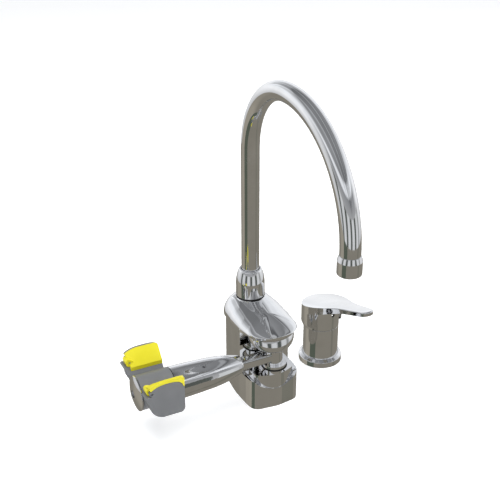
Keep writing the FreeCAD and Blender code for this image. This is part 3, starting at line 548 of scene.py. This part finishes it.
easedPieces = {
    "spout_collar": ("hubCollar", {"width": 0.2, "steps": 3, "crease": 35}),
    "aerator_shell": ("outletShell", {"width": 0.25, "steps": 3, "crease": 35}),
    "pivot_socket": ("pivotSocket", {"width": 0.2, "steps": 2, "crease": 35}),
    "pivot_washer": ("pivotWasher", {"width": 0.2, "steps": 2, "crease": 35}),
    "swing_stem": ("swingStem", {"width": 0.15, "steps": 2, "crease": 35}),
    "arm_bar": ("armBar", {"width": 0.45, "steps": 3, "crease": 35}),
    "arm_shell": ("armShell", {"width": 0.2, "steps": 2, "crease": 35}),
    "end_cap": ("hexEndCap", {"width": 0.2, "steps": 2, "crease": 30}),
    "mixer_flange": ("mixerFlange", {"width": 0.3, "steps": 3, "crease": 35}),
    "mixer_body": ("mixerColumn", {"width": 0.2, "steps": 2, "crease": 35}),
}
for nodeName, (pieceName, edge) in easedPieces.items():
    easeEdges(nodeName, pieceName, edge)
print("eased pieces:", len(easedPieces))
makeCasting()
makeCover()
makeHead()
makeLever()
makeSpring()
print("casting, cover, head, handle and spring made")


# Node trees: short ways to add a node, a sum or a vector, and to keep a tree's mesh

def newTree(name, inputs):
    tree = bpy.data.node_groups.new(name, "GeometryNodeTree")
    panel = tree.interface
    panel.new_socket("Geometry", in_out="OUTPUT", socket_type="NodeSocketGeometry")
    sockets = {}
    for label, kind in inputs:
        socket = panel.new_socket(label, in_out="INPUT", socket_type="NodeSocket" + kind)
        sockets[label] = socket.identifier
    given = tree.nodes.new("NodeGroupInput").outputs
    return tree, given, tree.nodes.new("NodeGroupOutput").inputs, sockets


def addNode(tree, kind, links=(), **settings):
    node = tree.nodes.new(kind)
    for key, value in settings.items():
        setattr(node, key, value)
    for socket, value in dict(links).items():
        if isinstance(value, bpy.types.NodeSocket):
            tree.links.new(value, node.inputs[socket])
        else:
            node.inputs[socket].default_value = value
    return node


def geometry(tree, kind, links=()):
    return addNode(tree, "GeometryNode" + kind, links).outputs[0]


def mathNode(tree, operation, *values):
    return addNode(tree, "ShaderNodeMath", enumerate(values), operation=operation).outputs[0]


def vectorOf(tree, **axes):
    return addNode(tree, "ShaderNodeCombineXYZ", axes).outputs[0]


def finishTree(tree, result, shape, finish):
    real = geometry(tree, "RealizeInstances", {"Geometry": shape})
    painted = geometry(tree, "SetMaterial", {"Geometry": real, "Material": finish})
    tree.links.new(painted, result["Geometry"])


def grow(name, tree, sockets, values):
    # evaluates a tree on an empty mesh and keeps the plain result
    holder = addObject(name + "Seed", bpy.data.meshes.new(name + "Seed"))
    modifier = holder.modifiers.new(name, "NODES")
    modifier.node_group = tree
    for label, value in values.items():
        modifier[sockets[label]] = value
    return keepResult(holder, name)


# Spout tube: a profile swept along its bends by Geometry Nodes

spoutLine = {
    "tubeRadius": 9.525,
    "tubeWall": 1.25,
    "tubeSides": 72,
    "riserFoot": 90.0,
    "riserTop": 272.2,
    "riseBend": 75.0,
    "fallBend": 111.5,
    "outletEnd": 226.3,
    "pull": 0.5523,
    "footLead": 10.0,
    "riserLead": 60.0,
    "outletLead": 3.0,
    "weld": 0.0001,
    "stepsPerBend": 40,
}


def spoutPath():
    # each knot is its place and its two handles, as y and z in mm
    s = spoutLine
    foot, top, end = s["riserFoot"], s["riserTop"], s["outletEnd"]
    rise, fall, pull, lead = s["riseBend"], s["fallBend"], s["pull"], s["outletLead"]
    peak = top + rise
    outY = -rise - fall
    knots = [
        ((0, foot), (0, foot - s["footLead"]), (0, foot + s["riserLead"])),
        ((0, top), (0, top - s["riserLead"]), (0, top + pull * rise)),
        ((-rise, peak), (-rise * (1 - pull), peak), (-rise - pull * fall, peak)),
        ((outY, peak - fall), (outY, peak - fall + pull * fall), (outY, peak - fall - lead)),
        ((outY, end), (outY, end + lead), (outY, end - lead)),
    ]
    data = bpy.data.curves.new("spoutLine", "CURVE")
    data.dimensions = "3D"
    spline = data.splines.new("BEZIER")
    spline.bezier_points.add(len(knots) - 1)
    spline.resolution_u = s["stepsPerBend"]
    for point, knot in zip(spline.bezier_points, knots):
        point.handle_left_type = point.handle_right_type = "FREE"
        point.co, point.handle_left, point.handle_right = [(0, y * mm, z * mm) for y, z in knot]
    return addObject("spoutLine", data)


def sweepTree():
    tree, given, result, sockets = newTree("tubeSweep", [
        ("line", "Object"), ("tubeRadius", "Float"), ("tubeSides", "Int"), ("finish", "Material")])
    info = addNode(tree, "GeometryNodeObjectInfo", {"Object": given["line"]})
    ring = geometry(tree, "CurvePrimitiveCircle", {
        "Resolution": given["tubeSides"], "Radius": given["tubeRadius"]})
    tube = geometry(tree, "CurveToMesh", {"Curve": info.outputs["Geometry"], "Profile Curve": ring})
    smooth = geometry(tree, "SetShadeSmooth", {"Geometry": tube})
    finishTree(tree, result, smooth, given["finish"])
    return tree, sockets


def makeSpout():
    line = spoutPath()
    tree, sockets = sweepTree()
    mesh = grow("sweptSpout", tree, sockets, {
        "line": line, "tubeRadius": spoutLine["tubeRadius"] * mm, "tubeSides": spoutLine["tubeSides"],
        "finish": chromePlate})
    bpy.data.objects.remove(line)
    turnOutward(mesh)
    piece = place(mesh, "sweptSpout", "spout_tube")
    wall = piece.modifiers.new("tubeWall", "SOLIDIFY")
    wall.thickness = spoutLine["tubeWall"] * mm
    wall.offset = -1
    wall.use_even_offset = True


def turnOutward(mesh):
    # a swept tube may come out inside out
    work = bmesh.new()
    work.from_mesh(mesh)
    bmesh.ops.remove_doubles(work, verts=work.verts, dist=spoutLine["weld"] * mm)
    face = max(work.faces, key=lambda f: f.calc_center_median().x)
    if face.normal.x < 0:
        bmesh.ops.reverse_faces(work, faces=work.faces)
    work.to_mesh(mesh)
    work.free()


# Woven screen in the outlet

weave = {
    "radius": 7.9,
    "pitch": 0.9,
    "wireRadius": 0.13,
    "wireSides": 6,
    "wave": 0.14,
    "rim": 0.28,
    "rimSides": 12,
    "hoopSides": 72,
    "stepsPerRow": 6,
    "outletY": -186.5,
}


def weaveTree():
    tree, given, result, sockets = newTree("wovenScreen", [
        ("radius", "Float"), ("pitch", "Float"), ("wireRadius", "Float"), ("wave", "Float"),
        ("rimRadius", "Float"), ("rows", "Int"), ("steps", "Int"), ("centre", "Vector"),
        ("finish", "Material")])
    radius, pitch = given["radius"], given["pitch"]
    # one wavy wire along x
    start = vectorOf(tree, X=mathNode(tree, "MULTIPLY", radius, -1.0))
    line = geometry(tree, "CurvePrimitiveLine", {"Start": start, "End": vectorOf(tree, X=radius)})
    fine = geometry(tree, "ResampleCurve", {"Curve": line, "Count": given["steps"]})
    where = addNode(tree, "ShaderNodeSeparateXYZ", {0: geometry(tree, "InputPosition")}).outputs
    turns = mathNode(tree, "DIVIDE", where["X"], pitch)
    swing = mathNode(tree, "COSINE", mathNode(tree, "MULTIPLY", turns, math.pi))
    lift = mathNode(tree, "MULTIPLY", swing, given["wave"])
    wire = geometry(tree, "SetPosition", {"Geometry": fine, "Offset": vectorOf(tree, Z=lift)})
    # rows of it both ways, every second one turned over
    middle = mathNode(tree, "FLOOR", mathNode(tree, "DIVIDE", given["rows"], 2.0))
    below = mathNode(tree, "MULTIPLY", mathNode(tree, "MULTIPLY", middle, pitch), -1.0)
    row = geometry(tree, "MeshLine", {
        "Count": given["rows"], "Start Location": vectorOf(tree, Y=below), "Offset": vectorOf(tree, Y=pitch)})
    shifted = mathNode(tree, "SUBTRACT", geometry(tree, "InputIndex"), middle)
    sign = mathNode(tree, "COSINE", mathNode(tree, "MULTIPLY", shifted, math.pi))
    both = addNode(tree, "GeometryNodeJoinGeometry")
    for turned, flip in ((0.0, 1.0), (math.pi / 2, -1.0)):
        size = vectorOf(tree, X=1.0, Y=1.0, Z=mathNode(tree, "MULTIPLY", sign, flip))
        rows = geometry(tree, "InstanceOnPoints", {"Points": row, "Instance": wire, "Scale": size})
        whirl = geometry(tree, "Transform", {"Geometry": rows, "Rotation": (0, 0, turned)})
        tree.links.new(whirl, both.inputs[0])
    loose = geometry(tree, "RealizeInstances", {"Geometry": both.outputs[0]})
    # trimmed to a disc, thickened and rimmed
    spot = geometry(tree, "InputPosition")
    reach = addNode(tree, "ShaderNodeVectorMath", {0: spot}, operation="LENGTH").outputs["Value"]
    outside = mathNode(tree, "GREATER_THAN", reach, radius)
    kept = geometry(tree, "DeleteGeometry", {"Geometry": loose, "Selection": outside})
    profile = geometry(tree, "CurvePrimitiveCircle", {
        "Resolution": weave["wireSides"], "Radius": given["wireRadius"]})
    wires = geometry(tree, "CurveToMesh", {"Curve": kept, "Profile Curve": profile, "Fill Caps": True})
    hoop = geometry(tree, "CurvePrimitiveCircle", {"Resolution": weave["hoopSides"], "Radius": radius})
    bead = geometry(tree, "CurvePrimitiveCircle", {
        "Resolution": weave["rimSides"], "Radius": given["rimRadius"]})
    rim = geometry(tree, "CurveToMesh", {"Curve": hoop, "Profile Curve": bead})
    screen = addNode(tree, "GeometryNodeJoinGeometry")
    tree.links.new(wires, screen.inputs[0])
    tree.links.new(rim, screen.inputs[0])
    moved = geometry(tree, "Transform", {"Geometry": screen.outputs[0], "Translation": given["centre"]})
    finishTree(tree, result, moved, given["finish"])
    return tree, sockets


def makeScreen():
    low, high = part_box("aerator_screen")
    rows = 2 * int(weave["radius"] / weave["pitch"]) + 1
    tree, sockets = weaveTree()
    mesh = grow("wovenScreen", tree, sockets, {
        "radius": weave["radius"] * mm, "pitch": weave["pitch"] * mm, "wireRadius": weave["wireRadius"] * mm,
        "wave": weave["wave"] * mm, "rimRadius": weave["rim"] * mm,
        "rows": rows, "steps": rows * weave["stepsPerRow"],
        "centre": (0, weave["outletY"] * mm, (low[2] + high[2]) / 2), "finish": drawnSteel})
    mesh.shade_smooth()
    place(mesh, "wovenScreen", "aerator_screen")


makeSpout()
makeScreen()
print("swept spout and woven screen made")


# Stage: a pale floor and wall, soft light and a studio room for the plating to reflect

floorPaper = {"half": 10.0, "noise": (3, 2), "shades": (0.95, 0.97), "rough": 0.9, "glow": 0.40}
backWall = {"radius": 11.0, "high": 24.0, "sides": 64, "noise": (0.4, 1), "shades": (0.96, 0.98), "glow": 1.0}


def paleFinish(name, look, colourSocket):
    mat, tree, shader, coords = startFinish(name)
    dark, light = look["shades"]
    cloud = addNoise(tree, coords, *look["noise"])
    shade = addRamp(tree, cloud, [(0.3, (dark, dark, dark)), (0.7, (light, light, light))])
    tree.links.new(shade, shader.inputs[colourSocket])
    shader.inputs["Specular IOR Level"].default_value = 0.0
    shader.inputs["Emission Strength"].default_value = look["glow"]
    return mat, shader


def makeFloor():
    mesh = bpy.data.meshes.new("paleFloor")
    half = floorPaper["half"]
    corners = [(-half, -half, 0), (half, -half, 0), (half, half, 0), (-half, half, 0)]
    mesh.from_pydata(corners, [], [(0, 1, 2, 3)])
    floor = addObject("paleFloor", mesh)
    mat, shader = paleFinish("palePaper", floorPaper, "Base Color")
    shader.inputs["Roughness"].default_value = floorPaper["rough"]
    shader.inputs["Emission Color"].default_value = (1, 1, 1, 1)
    mesh.materials.append(mat)
    floor.visible_glossy = False


def makeBackWall():
    # only the camera sees it, so the room's panels stay in the reflections
    mesh = roundBar("paleWall", backWall["radius"], backWall["high"], backWall["sides"], Matrix())
    mesh.flip_normals()
    mat, shader = paleFinish("paleWallPaint", backWall, "Emission Color")
    shader.inputs["Base Color"].default_value = (0, 0, 0, 1)
    mesh.materials.append(mat)
    wall = addObject("paleWall", mesh)
    wall.visible_diffuse = False
    wall.visible_glossy = False
    wall.visible_transmission = False
    wall.visible_shadow = False


def mixColour(tree, share, under, over, blend="MIX"):
    node = addNode(tree, "ShaderNodeMix", data_type="RGBA", blend_type=blend)
    tree.links.new(share, node.inputs["Factor"])
    for socket, value in ((node.inputs[6], under), (node.inputs[7], over)):  # its two colour sockets
        if isinstance(value, tuple):
            socket.default_value = (*value, 1)
        else:
            tree.links.new(value, socket)
    return node.outputs[2]


room = {
    "groundFront": (0.240, 0.225, 0.190),
    "groundLeft": (0.350, 0.325, 0.272),
    "leftFade": (0.35, 0.60),
    "farFrom": 0.05,
    "stripe": (0.098, 0.115, 0.090),
    "stripeAt": 187.0,
    "stripeHalf": 20.0,
    "seamAt": 320.0,
    "seamHalf": 7.0,
    "seamShare": 0.35,
    "horizon": -0.33,
    "frontAt": 243.0,
    "frontFade": (-0.25, 0.35),
    "backSky": [(0.0, 0.62), (0.30, 1.02), (0.52, 1.00), (0.60, 0.80), (0.74, 0.52), (0.765, 0.30),
                (1.0, 0.42)],
    "frontSky": [(0.0, 0.50), (0.30, 0.42), (0.52, 0.30), (0.56, 0.92), (0.66, 0.80), (0.70, 0.30),
                 (1.0, 0.42)],
    "skyTint": (0.985, 1.0, 1.02),
    "panelDark": (0.10, 0.11, 0.10),
    "panelLight": (0.66, 0.68, 0.69),
    "panelTop": 0.10,
    "panelBeat": 9.0,
    "darkOver": 0.5,
    "lightUnder": -0.1,
    "ceiling": [(0.0, 1.0), (0.16, 1.0), (0.24, 0.80), (0.34, 0.95), (0.355, 1.25), (0.375, 1.25),
                (0.385, 0.62), (0.50, 0.55), (0.545, 0.60), (0.555, 1.20), (0.575, 1.20), (0.58, 0.30),
                (0.595, 0.30), (0.61, 0.72), (0.70, 0.62), (0.715, 1.10), (0.74, 1.05), (0.755, 0.42),
                (0.765, 0.42), (0.78, 0.78), (0.86, 1.15), (1.0, 0.95)],
    "ceilingReach": 1.6,
    "ceilingLow": 0.15,
    "ceilingFade": (0.12, 0.30),
    "strength": 1.0,
}


def greyStops(stops):
    return [(at, tuple(level * tint for tint in room["skyTint"])) for at, level in stops]


def nearAngle(tree, turn, middle, half):
    # 1 within half a width of an azimuth, both in degrees
    away = mathNode(tree, "SUBTRACT", turn, math.radians(middle))
    wrapped = mathNode(tree, "WRAP", away, math.pi, -math.pi)
    return mathNode(tree, "LESS_THAN", mathNode(tree, "ABSOLUTE", wrapped), math.radians(half))


def makeRoom():
    world = bpy.data.worlds.new("studioRoom")
    bpy.context.scene.world = world
    world.use_nodes = True
    tree = world.node_tree
    back = tree.nodes["Background"]
    coords = tree.nodes.new("ShaderNodeTexCoord")
    parts = addNode(tree, "ShaderNodeSeparateXYZ", {0: coords.outputs["Generated"]})
    x, y, z = parts.outputs
    turn = mathNode(tree, "ARCTAN2", y, x)
    facing = mathNode(tree, "COSINE", mathNode(tree, "SUBTRACT", turn, math.radians(room["frontAt"])))
    front = addRange(tree, facing, 0.0, 1.0, *room["frontFade"])
    # below the horizon: a worktop with a dark stripe and a seam
    leftward = addRange(tree, mathNode(tree, "MULTIPLY", x, -1.0), 0.0, 1.0, *room["leftFade"])
    farSide = mathNode(tree, "GREATER_THAN", y, room["farFrom"])
    corner = mathNode(tree, "MULTIPLY", leftward, farSide)
    ground = mixColour(tree, corner, room["groundFront"], room["groundLeft"])
    stripe = nearAngle(tree, turn, room["stripeAt"], room["stripeHalf"])
    ground = mixColour(tree, stripe, ground, room["stripe"])
    seam = nearAngle(tree, turn, room["seamAt"], room["seamHalf"])
    seam = mathNode(tree, "MULTIPLY", seam, room["seamShare"])
    ground = mixColour(tree, seam, ground, room["stripe"])
    # above it: walls front and back, strips of light overhead, and a row of panels
    lift = addRange(tree, z, 0.0, 1.0, room["horizon"], 1.0)
    walls = [addRamp(tree, lift, greyStops(room[side])) for side in ("backSky", "frontSky")]
    sky = mixColour(tree, front, *walls)
    overhead = mathNode(tree, "DIVIDE", x, mathNode(tree, "MAXIMUM", z, room["ceilingLow"]))
    across = addRange(tree, overhead, 0.0, 1.0, -room["ceilingReach"], room["ceilingReach"])
    strips = addRamp(tree, across, greyStops(room["ceiling"]))
    sky = mixColour(tree, addRange(tree, z, 0.0, 1.0, *room["ceilingFade"]), sky, strips, "MULTIPLY")
    beat = mathNode(tree, "SINE", mathNode(tree, "MULTIPLY", turn, room["panelBeat"]))
    low = mathNode(tree, "MULTIPLY", front, mathNode(tree, "LESS_THAN", z, room["panelTop"]))
    dark = mathNode(tree, "MULTIPLY", mathNode(tree, "GREATER_THAN", beat, room["darkOver"]), low)
    light = mathNode(tree, "MULTIPLY", mathNode(tree, "LESS_THAN", beat, room["lightUnder"]), low)
    sky = mixColour(tree, dark, sky, room["panelDark"])
    sky = mixColour(tree, light, sky, room["panelLight"])
    whole = mixColour(tree, mathNode(tree, "GREATER_THAN", z, room["horizon"]), ground, sky)
    tree.links.new(whole, back.inputs["Color"])
    back.inputs["Strength"].default_value = room["strength"]


lamps = {
    "softOverhead": {"at": (-0.3, -0.4, 2.0), "aim": (0, -0.05, 0.1), "size": 1.8, "watts": 34},
    "softRight": {"at": (1.6, -0.9, 1.1), "aim": (0, -0.05, 0.1), "size": 1.2, "watts": 14},
}


def aimed(name, data, at, along):
    made = addObject(name, data)
    made.location = at
    made.rotation_mode = "QUATERNION"
    made.rotation_quaternion = Vector(along).to_track_quat("-Z", "Y")
    return made


def makeLamp(name, look):
    data = bpy.data.lights.new(name, "AREA")
    data.shape = "DISK"
    data.size = look["size"]
    data.energy = look["watts"]
    lamp = aimed(name, data, look["at"], Vector(look["aim"]) - Vector(look["at"]))
    lamp.visible_glossy = False


makeFloor()
makeBackWall()
makeRoom()
for lampName, look in lamps.items():
    makeLamp(lampName, look)
bpy.context.scene.view_settings.view_transform = "Standard"


# Camera at the photograph's angle

view = {
    "at": (-0.3915, -0.7624, 0.580),
    "along": (0.40944, 0.79805, -0.44213),
    "lens": 65.25,
    "sensor": 36,
    "clip": (0.02, 50),
}
lens = bpy.data.cameras.new("photoLens")
lens.sensor_width = view["sensor"]
lens.lens = view["lens"]
lens.clip_start, lens.clip_end = view["clip"]
bpy.context.scene.camera = aimed("photoCamera", lens, view["at"], view["along"])
print("stage set")
